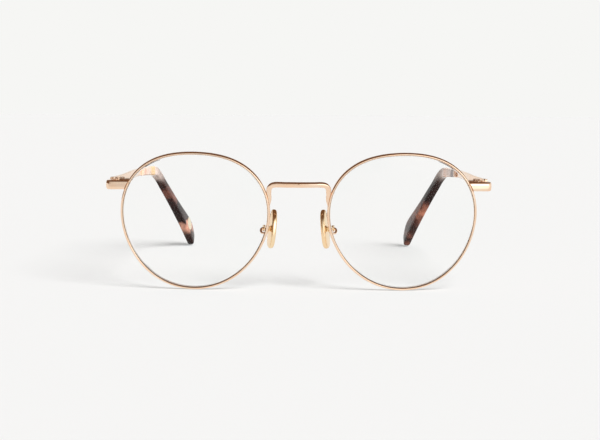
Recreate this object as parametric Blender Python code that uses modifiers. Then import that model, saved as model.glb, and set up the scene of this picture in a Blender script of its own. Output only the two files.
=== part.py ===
"""Round metal eyeglasses with acetate temple tips, as separate pieces at their real size.

Row frame: +X towards the wearer's left, +Y from the front back along the temples, +Z up.
The glasses stand open on both rims and both temple tips, with the floor at Z = 0.
Every paired piece is modelled for the wearer's left, and its twin is mirrored across X = 0.
"""

import math

import bmesh
import bpy
from mathutils import Matrix, Vector

MM = 0.001

# ---- Driving dimensions -------------------------------------------------------------------
LENS_SPACING = 72.7 * MM  # between the two lens centres
PANTO_TILT = math.radians(8.0)  # the front leans forward at its top
FACE_WRAP = math.radians(3.0)  # each lens turns back at its temple side
BASE_RADIUS = 110.0 * MM  # the sphere that lenses and rims follow
DATUM_RADIUS = 24.5 * MM  # distance from the lens centre where the rim is level with its datum
FRONT_Y = -61.5 * MM  # the lens centres; puts the middle of the whole object at Y = 0
LENS_Z = 24.75 * MM  # height of the lens centres, which rests the rims on the floor

# The rim's centre line, as distance from the lens centre at an angle up from the nose-to-temple line.
RIM_MEAN = 25.12 * MM
RIM_SIN = {1: 0.68 * MM, 2: -0.20 * MM, 3: 0.78 * MM}
RIM_COS = {2: 0.67 * MM, 3: -0.15 * MM, 4: -0.22 * MM}

RIM_HALF_WIDTH = 0.54 * MM
RIM_HALF_DEPTH = 0.90 * MM
GROOVE_DEPTH = 0.45 * MM
GROOVE_HALF_MOUTH = 0.42 * MM
RIM_STEPS = 64
SPLIT_ANGLE = math.radians(30.0)  # where each rim is cut for its lens, behind the endpiece
SPLIT_GAP = 0.30 * MM

LENS_THICKNESS = 1.70 * MM
LENS_RINGS = (0.25, 0.5, 0.75, 0.9)
FIT = 0.05 * MM  # the gap left where brazed or seated pieces meet

ENDPIECE_X = 67.3 * MM  # outermost face
ENDPIECE_Z = 37.4 * MM
ENDPIECE_HEIGHT = 3.2 * MM
HINGE_X = 64.2 * MM
HINGE_Y = FRONT_Y + 7.2 * MM
BARREL_RADIUS = 1.2 * MM
BARREL_HALF_HEIGHT = 1.65 * MM
KNUCKLE_HALF_HEIGHT = 0.55 * MM
PIN_RADIUS = 0.50 * MM
PIN_HOLE_RADIUS = 0.56 * MM
HINGE_PLATE = 0.6 * MM

BAR_THICKNESS = 1.2 * MM
TEMPLE_TOE = math.radians(6.5)  # the temple's front end points a little inwards
BAR_START_HEIGHT = 3.6 * MM
BAR_END_HEIGHT = 2.9 * MM
JUNCTION = 49.0 * MM  # length of bare metal temple, from its front end to the acetate
CORE_HALF = (0.45 * MM, 0.75 * MM)
CORE_STOP = 20.0 * MM  # how far from the tip's end its metal core stops

PAD_SIZE = (6.8 * MM, 14.0 * MM, 1.9 * MM)  # across, long, thick
PAD_TAPER = 0.16  # how much narrower the pad's top is than its middle
PAD_CENTRE = Vector((9.35 * MM, FRONT_Y + 5.0 * MM, 21.6 * MM))
PAD_SPLAY = math.radians(15.0)
PAD_LEAN = math.radians(6.0)
PAD_FOOT_ANGLE = math.radians(189.0)  # round the rim, where the pad's arm is brazed
PAD_PIVOT = 1.15 * MM  # the rocking axis, out from the pad's outer face

INLAY_RADIUS = 2.9 * MM
INLAY_DEPTH = 0.45 * MM
INLAY_STATION = 10.8 * MM  # back from the tip's end


# ---- Scene helpers ------------------------------------------------------------------------
def clear_scene():
    for obj in list(bpy.data.objects):
        bpy.data.objects.remove(obj)


def collection(name):
    made = bpy.data.collections.new(name)
    bpy.context.scene.collection.children.link(made)
    return made


def material(name, colour, metallic, roughness):
    made = bpy.data.materials.new(name)
    made.use_nodes = True
    shader = made.node_tree.nodes["Principled BSDF"]
    shader.inputs["Base Color"].default_value = (*colour, 1.0)
    shader.inputs["Metallic"].default_value = metallic
    shader.inputs["Roughness"].default_value = roughness
    return made


def empty(name, location, rotation=(0.0, 0.0, 0.0), parent=None):
    made = bpy.data.objects.new(name, None)
    PARTS.objects.link(made)
    made.parent = parent
    made.location = location
    made.rotation_euler = rotation
    return made


def place(name, mesh, look, parent=None, location=(0, 0, 0), smooth=30.0):
    """A named piece, under its parent, shaded smooth up to an edge angle in degrees."""
    obj = bpy.data.objects.new(name, mesh)
    PARTS.objects.link(obj)
    obj.parent = parent
    obj.location = location
    if look is not None:
        mesh.materials.append(look)
    if smooth:
        mesh.shade_smooth()
        mesh.set_sharp_from_angle(angle=math.radians(smooth))
    return obj


def as_cutter(obj):
    """Moves a helper to the cutters' collection, where it isn't part of the object."""
    for holder in list(obj.users_collection):
        holder.objects.unlink(obj)
    CUTTERS.objects.link(obj)
    obj.hide_render = True
    obj.display_type = "WIRE"
    return obj


def boolean(obj, other, operation):
    modifier = obj.modifiers.new(operation.lower(), "BOOLEAN")
    modifier.operation = operation
    modifier.object = other
    return obj


def rounded(obj, width, segments=2, angle=30.0):
    modifier = obj.modifiers.new("rounding", "BEVEL")
    modifier.width = width
    modifier.segments = segments
    modifier.limit_method = "ANGLE"
    modifier.angle_limit = math.radians(angle)
    return obj


def baked(obj):
    """Applies an object's modifiers, so that its mesh is the finished one."""
    bpy.context.view_layer.update()
    graph = bpy.context.evaluated_depsgraph_get()
    mesh = bpy.data.meshes.new_from_object(obj.evaluated_get(graph))
    work = bmesh.new()
    work.from_mesh(mesh)
    bmesh.ops.remove_doubles(work, verts=work.verts, dist=0.001 * MM)
    work.to_mesh(mesh)
    work.free()
    if obj.type == "MESH":
        obj.modifiers.clear()
        obj.data = mesh
        return obj
    made = bpy.data.objects.new(obj.name, mesh)
    PARTS.objects.link(made)
    made.parent = obj.parent
    made.matrix_local = obj.matrix_local.copy()
    name = obj.name
    bpy.data.objects.remove(obj)
    made.name = name
    return made


def mesh_from(work, name):
    mesh = bpy.data.meshes.new(name)
    bmesh.ops.recalc_face_normals(work, faces=work.faces)
    work.to_mesh(mesh)
    work.free()
    return mesh


# ---- Shape helpers ------------------------------------------------------------------------
def box(name, low, high):
    work = bmesh.new()
    bmesh.ops.create_cube(work, size=1.0)
    low, high = Vector(low), Vector(high)
    size = high - low
    bmesh.ops.transform(
        work,
        matrix=Matrix.Translation((low + high) / 2) @ Matrix.Diagonal((*size, 1.0)),
        verts=work.verts,
    )
    return mesh_from(work, name)


def cylinder(name, radius, low, high, sides=24, centre=(0.0, 0.0)):
    """An upright cylinder from low to high."""
    work = bmesh.new()
    bmesh.ops.create_cone(
        work,
        cap_ends=True,
        segments=sides,
        radius1=radius,
        radius2=radius,
        depth=high - low,
        matrix=Matrix.Translation((*centre, (low + high) / 2)),
    )
    return mesh_from(work, name)


def oval(half_width, half_height, count, power=2.0):
    """Points of a superellipse, as (across, up), anticlockwise."""
    points = []
    for i in range(count):
        turn = 2 * math.pi * (i + 0.5) / count
        c, s = math.cos(turn), math.sin(turn)
        points.append(
            (
                half_width * math.copysign(abs(c) ** (2 / power), c),
                half_height * math.copysign(abs(s) ** (2 / power), s),
            )
        )
    return points


def loft(name, rings, closed=False):
    """Skins a row of rings with the same number of points, capping the ends unless it closes on itself."""
    work = bmesh.new()
    rows = [[work.verts.new(point) for point in ring] for ring in rings]
    pairs = list(zip(rows, rows[1:] + rows[:1])) if closed else list(zip(rows, rows[1:]))
    for first, second in pairs:
        for i in range(len(first)):
            j = (i + 1) % len(first)
            work.faces.new((first[i], first[j], second[j], second[i]))
    if not closed:
        work.faces.new(rows[0])
        work.faces.new(rows[-1])
    return mesh_from(work, name)


def frames(path, across):
    """(point, across axis, up axis) along a path; across is kept as near as it can be to the given one."""
    made = []
    for i, point in enumerate(path):
        along = (path[min(i + 1, len(path) - 1)] - path[max(i - 1, 0)]).normalized()
        side = (across - along * across.dot(along)).normalized()
        made.append((point, side, side.cross(along)))
    return made


def bezier(points, steps):
    """Points along a Bezier curve of any order, both ends included."""
    made = []
    for i in range(steps + 1):
        t = i / steps
        row = [Vector(p) for p in points]
        while len(row) > 1:
            row = [a.lerp(b, t) for a, b in zip(row, row[1:])]
        made.append(row[0])
    return made


def through(points, steps):
    """Points of a smooth curve that passes through every given point."""
    points = [Vector(p) for p in points]
    ends = [points[0] * 2 - points[1]] + points + [points[-1] * 2 - points[-2]]
    made = []
    for a, b, c, d in zip(ends, ends[1:], ends[2:], ends[3:]):
        for i in range(steps):
            t = i / steps
            bend = (2 * a - 5 * b + 4 * c - d) * t * t + (3 * b - 3 * c + d - a) * t**3
            made.append(b + ((c - a) * t + bend) / 2)
    return made + [points[-1]]


def blend(table, at):
    """Values of a table of (station, value, value, ...), in straight lines between its rows."""
    for low, high in zip(table, table[1:]):
        if at <= high[0]:
            t = max(0.0, (at - low[0]) / (high[0] - low[0]))
            return [a + (b - a) * t for a, b in zip(low[1:], high[1:])]
    return list(table[-1][1:])


# ---- The front: rims and lenses -----------------------------------------------------------
def rim_radius(angle):
    radius = RIM_MEAN
    for turns, size in RIM_SIN.items():
        radius += size * math.sin(turns * angle)
    for turns, size in RIM_COS.items():
        radius += size * math.cos(turns * angle)
    return radius


def bow(distance):
    """How far the lens sphere lies behind the datum plane at a distance from the lens centre."""
    return (distance**2 - DATUM_RADIUS**2) / (2 * BASE_RADIUS)


def rim_point(angle, outwards=0.0, back=0.0):
    """A point beside the rim's centre line, in the lens's own frame."""
    here = Vector((math.cos(angle), 0, math.sin(angle))) * rim_radius(angle)
    step = 1e-3
    ahead = Vector((math.cos(angle + step), 0, math.sin(angle + step)))
    along = (ahead * rim_radius(angle + step) - here).normalized()
    outward = Vector((along.z, 0, -along.x))
    return here + outward * outwards + Vector((0, bow(rim_radius(angle)) + back, 0))


def rim_section():
    """The eyewire's section as (outwards, back), with a V groove for the lens on its inner side."""
    w, d = RIM_HALF_WIDTH, RIM_HALF_DEPTH
    edge = 0.22 * MM
    lip = 0.10 * MM
    half = [
        (-w + GROOVE_DEPTH, 0.0),
        (-w, GROOVE_HALF_MOUTH),
        (-w, d - lip),
        (-w + lip, d),
        (w - edge, d),
        (w, d - edge),
    ]
    return half + [(out, -back) for out, back in reversed(half[1:])]


def make_rim(parent):
    half_gap = SPLIT_GAP / 2 / rim_radius(SPLIT_ANGLE)
    first, last = SPLIT_ANGLE + half_gap, SPLIT_ANGLE + 2 * math.pi - half_gap
    rings = []
    for i in range(RIM_STEPS + 1):
        angle = first + (last - first) * i / RIM_STEPS
        rings.append([rim_point(angle, out, back) for out, back in rim_section()])
    return place("rim_left", loft("rim", rings), GOLD, parent)


def make_lens(parent):
    """A meniscus with a bevelled edge that seats in the rim's groove."""
    half = LENS_THICKNESS / 2
    land = GROOVE_HALF_MOUTH - FIT
    shoulder = -RIM_HALF_WIDTH - FIT
    apex = -RIM_HALF_WIDTH + GROOVE_DEPTH - 1.4 * FIT
    edge = [(shoulder, -half), (shoulder, -land), (apex, 0), (shoulder, land), (shoulder, half)]
    angles = [
        SPLIT_ANGLE + 2 * math.pi * i / RIM_STEPS for i in range(RIM_STEPS)
    ]
    work = bmesh.new()
    rows = []
    for share in LENS_RINGS:
        row = []
        for angle in angles:
            out = rim_radius(angle) * share
            row.append(Vector((math.cos(angle) * out, bow(out), math.sin(angle) * out)))
        rows.append(row)
    back = Vector((0, half, 0))
    loops = [[work.verts.new(p - back) for p in row] for row in rows]
    loops += [[work.verts.new(rim_point(a, out, deep)) for a in angles] for out, deep in edge]
    loops += [[work.verts.new(p + back) for p in row] for row in reversed(rows)]
    for one, two in zip(loops, loops[1:]):
        for i in range(RIM_STEPS):
            j = (i + 1) % RIM_STEPS
            work.faces.new((one[i], one[j], two[j], two[i]))
    for loop, side in ((loops[0], -half), (loops[-1], half)):
        pole = work.verts.new((0, bow(0) + side, 0))
        for i in range(RIM_STEPS):
            work.faces.new((loop[i], loop[(i + 1) % RIM_STEPS], pole))
    return place("lens_left", mesh_from(work, "lens"), CLEAR, parent)


def make_rim_cutter(parent):
    """A thick plate of the rim's outer outline plus a fit gap, which trims what is brazed to it."""
    reach = 12 * MM
    rings = []
    for back in (-reach, reach):
        rings.append(
            [
                rim_point(
                    SPLIT_ANGLE + 2 * math.pi * i / RIM_STEPS, RIM_HALF_WIDTH + FIT, 0
                )
                + Vector((0, back, 0))
                for i in range(RIM_STEPS)
            ]
        )
    return as_cutter(place("rim_cutter", loft("rim_cutter", rings), None, parent, smooth=0))


# ---- The front: bridge, endpieces and closing blocks --------------------------------------
def make_bridge(parent, cutter):
    """A bar between the rims whose ends turn down into feet brazed along them."""
    half_path = through(
        [
            Vector(p) * MM
            for p in (
                (0, -3.0, 13.75),
                (4.6, -2.88, 13.75),
                (8.5, -2.65, 13.7),
                (10.05, -2.2, 12.6),
                (10.35, -1.5, 10.6),
                (10.1, -1.15, 8.2),
                (10.4, -1.15, 5.6),
            )
        ],
        4,
    )
    sizes = [(0, 0.80, 0.97), (9.0, 0.80, 0.97), (12.0, 0.78, 0.90), (14.5, 0.72, 0.72)]
    sizes.append((18.5, 0.40, 0.18))
    rings = []
    distance = 0.0
    previous = half_path[0]
    for point, deep, flat in frames(half_path, Vector((0, 1, 0))):
        distance += (point - previous).length
        previous = point
        half_depth, half_height = (value * MM for value in blend(sizes, distance / MM))
        rings.append(
            [
                point + deep * a + flat * b
                for a, b in oval(half_depth, half_height, 14, power=3.0)
            ]
        )
    other_half = [[Vector((-p.x, p.y, p.z)) for p in ring] for ring in reversed(rings[1:])]
    bridge = place("bridge", loft("bridge", other_half + rings), GOLD, parent)
    for side in (cutter, mirrored(cutter, "rim_cutter_right")):
        boolean(bridge, as_cutter(side), "DIFFERENCE")
    return baked(bridge)


def make_endpiece(cutter):
    """A strip that leaves the rim sideways and turns back to the hinge, cut from its plan outline."""
    outer, inner = ENDPIECE_X, ENDPIECE_X - 1.4 * MM
    front, rear = FRONT_Y - 1.35 * MM, HINGE_Y - FIT
    face, turn = 1.15 * MM, 2.0 * MM
    corner = [
        (outer - turn + turn * math.sin(a), front + turn - turn * math.cos(a))
        for a in (math.radians(15 * i) for i in range(7))
    ]
    start = 58.0 * MM
    outline = [(start, front - 0.1 * MM)] + corner + [(outer, rear), (inner, rear)]
    outline += [(inner, front + turn), (inner - 0.8 * MM, front + face), (start, front + face)]
    curve = bpy.data.curves.new("endpiece_plan", "CURVE")
    curve.dimensions = "2D"
    curve.fill_mode = "BOTH"
    curve.extrude = ENDPIECE_HEIGHT / 2
    spline = curve.splines.new("POLY")
    spline.points.add(len(outline) - 1)
    for point, (x, y) in zip(spline.points, outline):
        point.co = (x, y, 0, 1)
    spline.use_cyclic_u = True
    made = bpy.data.objects.new("endpiece_left", curve)
    PARTS.objects.link(made)
    made.location = (0, 0, ENDPIECE_Z)
    made = baked(made)
    made.data.materials.append(GOLD)
    boolean(rounded(made, 0.3 * MM), cutter, "DIFFERENCE")
    return baked(made)


def make_closing_block(name, parent, cutter, bottom, top):
    """Half of the barrel that closes the rim: a brazed block with the closing screw's hole."""
    x, y = CLOSING_AXIS
    block = place(
        name,
        box(name, (x - 3.2 * MM, y - 1.0 * MM, bottom), (x + 1.0 * MM, y + 1.0 * MM, top)),
        GOLD,
        parent,
    )
    rounded(block, 0.2 * MM, 1)
    hole = place(
        name + "_hole",
        cylinder("hole", 0.50 * MM, bottom - MM, top + MM, 16, (x, y)),
        None,
        parent,
    )
    boolean(block, cutter, "DIFFERENCE")
    boolean(block, as_cutter(hole), "DIFFERENCE")
    return baked(block)


def make_screw(name, parent, centre, shank, bottom, head, head_low, head_high, matrix=None):
    """A slotted screw standing upright at centre: shank from bottom to the head, head with a slot."""
    screw = place(
        name, cylinder(name, shank, bottom, (head_low + head_high) / 2, 14, centre), STEEL, parent
    )
    cap = place(name + "_head", cylinder("head", head, head_low, head_high, 20, centre), None, parent)
    x, y = centre
    slot_half, slot_deep = 0.12 * MM, 0.22 * MM
    outer = head_high if head_high > bottom else head_low - slot_deep
    low, high = sorted((outer - slot_deep, outer + slot_deep))
    if head_high < bottom:
        low, high = head_high - slot_deep, head_high + slot_deep
    slot = place(
        name + "_slot",
        box("slot", (x - 2 * head, y - slot_half, low), (x + 2 * head, y + slot_half, high)),
        None,
        parent,
    )
    if matrix is not None:
        for obj in (screw, cap, slot):
            obj.matrix_local = matrix
    boolean(screw, as_cutter(cap), "UNION")
    boolean(screw, as_cutter(slot), "DIFFERENCE")
    return baked(screw)


# ---- Hinges -------------------------------------------------------------------------------
def joined(base, others, hole):
    """The union of a base mesh object and others, with a hole cut through it."""
    for other in others:
        boolean(base, as_cutter(other), "UNION")
    boolean(base, as_cutter(hole), "DIFFERENCE")
    return baked(base)


def make_hinge_front(parent):
    """A plate on the endpiece with the outer two barrels of a three-barrel hinge."""
    plate_x = BAR_INNER_X - FIT
    name = "hinge_front_left"
    base = place(
        name,
        box(
            name,
            (plate_x - HINGE_PLATE, -5.0 * MM, -1.5 * MM),
            (plate_x, -1.4 * MM, 1.5 * MM),
        ),
        GOLD,
        parent,
    )
    others = []
    for low, high in (
        (-BARREL_HALF_HEIGHT, -KNUCKLE_HALF_HEIGHT - FIT),
        (KNUCKLE_HALF_HEIGHT + FIT, BARREL_HALF_HEIGHT),
    ):
        others.append(place("barrel", cylinder("barrel", BARREL_RADIUS, low, high), None, parent))
        tongue = box("tongue", (0.1 * MM, -2.0 * MM, low), (plate_x, 0.25 * MM, high))
        others.append(place("tongue", tongue, None, parent))
    hole = place(
        "pin_hole", cylinder("pin_hole", PIN_HOLE_RADIUS, -3 * MM, 3 * MM, 24), None, parent
    )
    return joined(base, others, hole)


def make_hinge_temple(parent):
    """A plate on the temple's inner face with the middle barrel."""
    name = "hinge_temple_left"
    low, high = -KNUCKLE_HALF_HEIGHT, KNUCKLE_HALF_HEIGHT
    base = place(name, cylinder(name, BARREL_RADIUS, low, high), GOLD, parent)
    arm = box("arm", (0.1 * MM, 0, low), (BAR_INNER_X - 0.45 * MM, 2.4 * MM, high))
    plate = place(
        "plate",
        box("plate", (-FIT - HINGE_PLATE, 1.5 * MM, -1.3 * MM), (-FIT, 6.2 * MM, 1.3 * MM)),
        None,
        parent,
        (BAR_INNER_X, 0, 0),
    )
    plate.rotation_euler.z = TEMPLE_TOE
    others = [plate, place("arm", arm, None, parent)]
    hole = place(
        "pin_hole", cylinder("pin_hole", PIN_HOLE_RADIUS, -3 * MM, 3 * MM, 24), None, parent
    )
    return joined(base, others, hole)


# ---- Temples ------------------------------------------------------------------------------
def temple_path():
    """The temple's centre line, front to tip, as (distance, point) in the hinge's frame."""
    heading = Vector((-math.sin(TEMPLE_TOE), math.cos(TEMPLE_TOE), 0))
    front = Vector((BAR_INNER_X, 0, 0.3 * MM)) + heading * 0.15 * MM
    front += Vector((heading.y, -heading.x, 0)) * BAR_THICKNESS / 2
    junction = Vector((-1.2 * MM, JUNCTION, 0.8 * MM))
    into = Vector((-2.0 * MM, 79.0 * MM, -0.6 * MM))
    corner = Vector((-2.6 * MM, 87.0 * MM, -1.0 * MM))
    end = Vector((-14.9 * MM, 120.0 * MM, -36.4 * MM))
    out_of = corner.lerp(end, 0.17)
    bow_in = Vector((-1.2 * MM, 0, 0))
    near = front + heading * 24.0 * MM
    points = bezier([front, near, junction.lerp(into, -0.6), junction], 10)[:-1]
    points += [junction.lerp(into, i / 5) for i in range(5)]
    points += bezier([into, corner, out_of], 8)[:-1]
    points += bezier([out_of, out_of.lerp(end, 0.5) + bow_in, end], 20)
    distance, made = 0.0, [(0.0, points[0])]
    for one, two in zip(points, points[1:]):
        distance += (two - one).length
        made.append((distance, two))
    return made


def stations(path, low, high, extra=()):
    """The path's points between two distances, with exact ones added at both ends."""
    made = [(d, p) for d, p in path if low + 0.2 * MM < d < high - 0.2 * MM]
    for at in (low, high, *extra):
        for (d0, p0), (d1, p1) in zip(path, path[1:]):
            if d0 <= at <= d1:
                made.append((at, p0.lerp(p1, (at - d0) / (d1 - d0))))
                break
    return sorted(made, key=lambda item: item[0])


def section_rings(path, low, high, size, count, power, extra=()):
    """Rings along the path; size(distance) gives half thickness, reach down and reach up."""
    chosen = stations(path, low, high, extra)
    rings = []
    for (distance, _), (point, out, up) in zip(
        chosen, frames([p for _, p in chosen], Vector((1, 0, 0)))
    ):
        half, down, rise = size(distance)
        middle = point + up * (rise - down) / 2
        rings.append(
            [middle + out * a + up * b for a, b in oval(half, (down + rise) / 2, count, power)]
        )
    return rings


def bar_size(distance):
    share = min(1.0, distance / JUNCTION)
    half = (BAR_START_HEIGHT + (BAR_END_HEIGHT - BAR_START_HEIGHT) * share) / 2
    return BAR_THICKNESS / 2, half, half


def core_size(distance):
    return CORE_HALF[0], CORE_HALF[1], CORE_HALF[1]


def channel_size(distance):
    return CORE_HALF[0] + FIT, CORE_HALF[1] + FIT, CORE_HALF[1] + FIT


def tip_size(left):
    """Half thickness, reach down and reach up of the acetate, by the length left to its end."""
    table = [
        (0.0, 1.45, 2.1, 2.2),
        (2.4, 1.60, 2.2, 4.2),
        (5.0, 1.70, 2.25, 5.9),
        (7.0, 1.75, 2.3, 6.6),
        (9.5, 1.75, 2.3, 6.6),
        (13.0, 1.75, 2.3, 5.9),
        (20.0, 1.75, 2.25, 4.2),
        (28.0, 1.70, 2.2, 2.8),
        (38.0, 1.60, 2.15, 2.25),
        (50.0, 1.55, 2.1, 2.1),
        (66.0, 1.50, 1.8, 1.8),
        (90.0, 1.25, 1.45, 1.45),
    ]
    half, down, rise = (value * MM for value in blend(table, left / MM))
    if left < 2.4 * MM:  # the rounded end
        closing = math.sqrt(max(0.03, 1 - (1 - left / (2.4 * MM)) ** 2))
        half, down, rise = half * closing, down * closing, rise * closing
    return half, down, rise


def make_temple_bar(parent, path):
    """The metal temple: a flat bar that steps down to the core inside the acetate."""
    rings = section_rings(path, 0.0, JUNCTION - FIT, bar_size, 12, 6.0)
    rings += section_rings(path, JUNCTION - FIT, path[-1][0] - CORE_STOP, core_size, 12, 4.0)
    return place("temple_bar_left", loft("bar", rings), GOLD, parent)


def make_temple_tip(parent, path):
    """The acetate tip: an outer skin and the core's channel, which opens at the front end."""
    end = path[-1][0]
    rounding = [end - step * MM for step in (0.15, 0.5, 1.0, 1.7)]
    outer = section_rings(
        path, JUNCTION, end, lambda at: tip_size(end - at), 16, 3.4, rounding
    )
    deepest = end - CORE_STOP + 0.6 * MM
    channel = section_rings(path, JUNCTION, deepest, channel_size, 16, 4.0)
    return place("temple_tip_left", loft("tip", channel[::-1] + outer), TORTOISE, parent)


def make_inlay(tip, path):
    """A plain metal disc let into the inner face of one tip, and the recess for it."""
    at = path[-1][0] - INLAY_STATION
    near = stations(path, at - MM, at + MM)
    (point, out, up) = frames([p for _, p in near], Vector((1, 0, 0)))[len(near) // 2]
    half, down, rise = tip_size(INLAY_STATION)
    turn = Matrix((up, up.cross(out) * -1, out)).transposed().to_4x4()
    turn.translation = point + up * (rise - down + 0.8 * MM) / 2 - out * half
    recess = cylinder("recess", INLAY_RADIUS + FIT, -2 * MM, INLAY_DEPTH, 32)
    recess = place("recess", recess, None, tip.parent)
    disc = cylinder("inlay", INLAY_RADIUS, -0.08 * MM, INLAY_DEPTH - FIT, 32)
    disc = place("tip_inlay_left", disc, INLAY, tip.parent)
    for obj in (recess, disc):
        obj.matrix_local = turn
    boolean(tip, as_cutter(recess), "DIFFERENCE")
    rounded(disc, 0.06 * MM, 1)
    return baked(tip), baked(disc)


# ---- Nose pads ----------------------------------------------------------------------------
def pad_matrix():
    """The pad's frame: X across it (front to back), Y along it (up), Z out from its outer face."""
    along = Vector((-math.sin(PAD_LEAN), 0, math.cos(PAD_LEAN)))
    outward = Vector(
        (
            math.cos(PAD_LEAN) * math.cos(PAD_SPLAY),
            -math.sin(PAD_SPLAY),
            math.sin(PAD_LEAN) * math.cos(PAD_SPLAY),
        )
    )
    across = along.cross(outward)
    turn = Matrix((across, along, outward)).transposed().to_4x4()
    turn.translation = PAD_CENTRE + outward * (PAD_SIZE[2] / 2 + PAD_PIVOT)
    return turn


def make_nose_pad(parent):
    """An oval plate with rounded edges and the drilled tab that hangs it in its box."""
    edge = 0.7 * MM
    curve = bpy.data.curves.new("pad_outline", "CURVE")
    curve.dimensions = "2D"
    curve.fill_mode = "BOTH"
    curve.extrude = PAD_SIZE[2] / 2 - edge
    curve.bevel_depth = edge
    curve.bevel_resolution = 1
    curve.offset = -edge
    outline = [
        (x * (1 - PAD_TAPER * y / (PAD_SIZE[1] / 2)), y)
        for x, y in oval(PAD_SIZE[0] / 2, PAD_SIZE[1] / 2, 28, power=2.4)
    ]
    spline = curve.splines.new("POLY")
    spline.points.add(len(outline) - 1)
    for point, (x, y) in zip(spline.points, outline):
        point.co = (x, y, 0, 1)
    spline.use_cyclic_u = True
    pad = bpy.data.objects.new("nose_pad_left", curve)
    PARTS.objects.link(pad)
    pad.parent = parent
    pad.location = (0, 0, -PAD_PIVOT - PAD_SIZE[2] / 2)
    pad = baked(pad)
    pad.data.transform(Matrix.Translation(pad.location))
    pad.location = (0, 0, 0)
    pad.data.materials.append(PAD_GOLD)
    pad.data.shade_smooth()
    pad.data.set_sharp_from_angle(angle=math.radians(40))
    tab = place(
        "tab",
        box("tab", (-0.40 * MM, -0.75 * MM, -PAD_PIVOT - 0.5 * MM), (0.40 * MM, 0.75 * MM, 0.6 * MM)),
        None,
        parent,
    )
    hole = place("tab_hole", cylinder("tab_hole", 0.40 * MM, -2 * MM, 2 * MM, 16), None, parent)
    hole.rotation_euler = (0, math.pi / 2, 0)
    return joined(pad, [tab], hole)


def make_pad_box(parent):
    """The small fork that holds the pad's tab."""
    low, high = -PAD_PIVOT + 0.38 * MM, 1.3 * MM
    name = "pad_box_left"
    fork = place(name, box(name, (-1.2 * MM, -1.1 * MM, low), (1.2 * MM, 1.1 * MM, high)), GOLD, parent)
    rounded(fork, 0.2 * MM, 1)
    slot = place(
        "fork_slot",
        box("fork_slot", (-0.47 * MM, -2 * MM, low - MM), (0.47 * MM, 2 * MM, 0.95 * MM)),
        None,
        parent,
    )
    hole = place("fork_hole", cylinder("fork_hole", 0.38 * MM, -3 * MM, 3 * MM, 16), None, parent)
    hole.rotation_euler = (0, math.pi / 2, 0)
    boolean(fork, as_cutter(slot), "DIFFERENCE")
    boolean(fork, as_cutter(hole), "DIFFERENCE")
    return baked(fork)


def make_pad_arm(matrix, foot):
    """The bent wire from its foot on the back of the rim to the pad's box."""
    box_back = matrix @ Vector((0, 0, 1.35 * MM))
    outward = matrix.to_3x3() @ Vector((0, 0, 1))
    route = bezier(
        [
            foot,
            foot + Vector((0.1, 1.5, 0.1)) * MM,
            foot + Vector((2.0, 2.8, -1.6)) * MM,
            box_back + outward * 1.3 * MM + Vector((0.0, -0.3, -0.8)) * MM,
            box_back + outward * 0.8 * MM,
            box_back,
        ],
        18,
    )
    curve = bpy.data.curves.new("pad_arm", "CURVE")
    curve.dimensions = "3D"
    curve.bevel_depth = 0.40 * MM
    curve.bevel_resolution = 2
    curve.use_fill_caps = True
    spline = curve.splines.new("POLY")
    spline.points.add(len(route) - 1)
    for point, where in zip(spline.points, route):
        point.co = (*where, 1)
    arm = bpy.data.objects.new("pad_arm_left", curve)
    PARTS.objects.link(arm)
    arm = baked(arm)
    arm.data.materials.append(GOLD)
    arm.data.shade_smooth()
    arm.data.set_sharp_from_angle(angle=math.radians(50))
    return arm


# ---- Mirrored twins -----------------------------------------------------------------------
def mirrored(obj, name, parent=None):
    """The twin of a piece on the wearer's right: its mesh and its place both reflected in X."""
    bpy.context.view_layer.update()
    flip = Matrix.Diagonal((-1, 1, 1, 1))
    mesh = obj.data.copy()
    mesh.transform(flip)
    mesh.flip_normals()
    twin = bpy.data.objects.new(name, mesh)
    PARTS.objects.link(twin)
    world = flip @ obj.matrix_world @ flip
    twin.parent = parent
    if parent is not None:
        bpy.context.view_layer.update()
        world = parent.matrix_world.inverted() @ world
    twin.matrix_local = world
    return twin


# ---- Assembly -----------------------------------------------------------------------------
clear_scene()
PARTS = collection("eyeglasses")
CUTTERS = collection("cutters")

GOLD = material("polished_gold", (0.84, 0.60, 0.40), 1.0, 0.15)
PAD_GOLD = material("yellow_gold", (0.88, 0.70, 0.42), 1.0, 0.18)
STEEL = material("screw_gold", (0.62, 0.45, 0.30), 1.0, 0.3)
CLEAR = material("clear_lens", (0.95, 0.97, 0.97), 0.0, 0.02)
TORTOISE = material("tortoise_acetate", (0.10, 0.05, 0.04), 0.0, 0.2)
INLAY = material("inlay_gold", (0.90, 0.80, 0.58), 1.0, 0.25)

BAR_INNER_X = ENDPIECE_X - 1.4 * MM - HINGE_X
CLOSING_AXIS = (25.4 * MM, 1.55 * MM)

front = empty("front_datum", (0, FRONT_Y, LENS_Z), (PANTO_TILT, 0, 0))
lens_axis = empty("lens_axis_left", (LENS_SPACING / 2, 0, 0), (0, 0, FACE_WRAP), front)
hinge = empty("hinge_axis_left", (HINGE_X, HINGE_Y, ENDPIECE_Z))
hinge_right = empty("hinge_axis_right", (-HINGE_X, HINGE_Y, ENDPIECE_Z))
bpy.context.view_layer.update()

rim_cutter = make_rim_cutter(lens_axis)
left = [make_rim(lens_axis), make_lens(lens_axis), make_endpiece(rim_cutter)]
make_bridge(front, rim_cutter)

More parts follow.
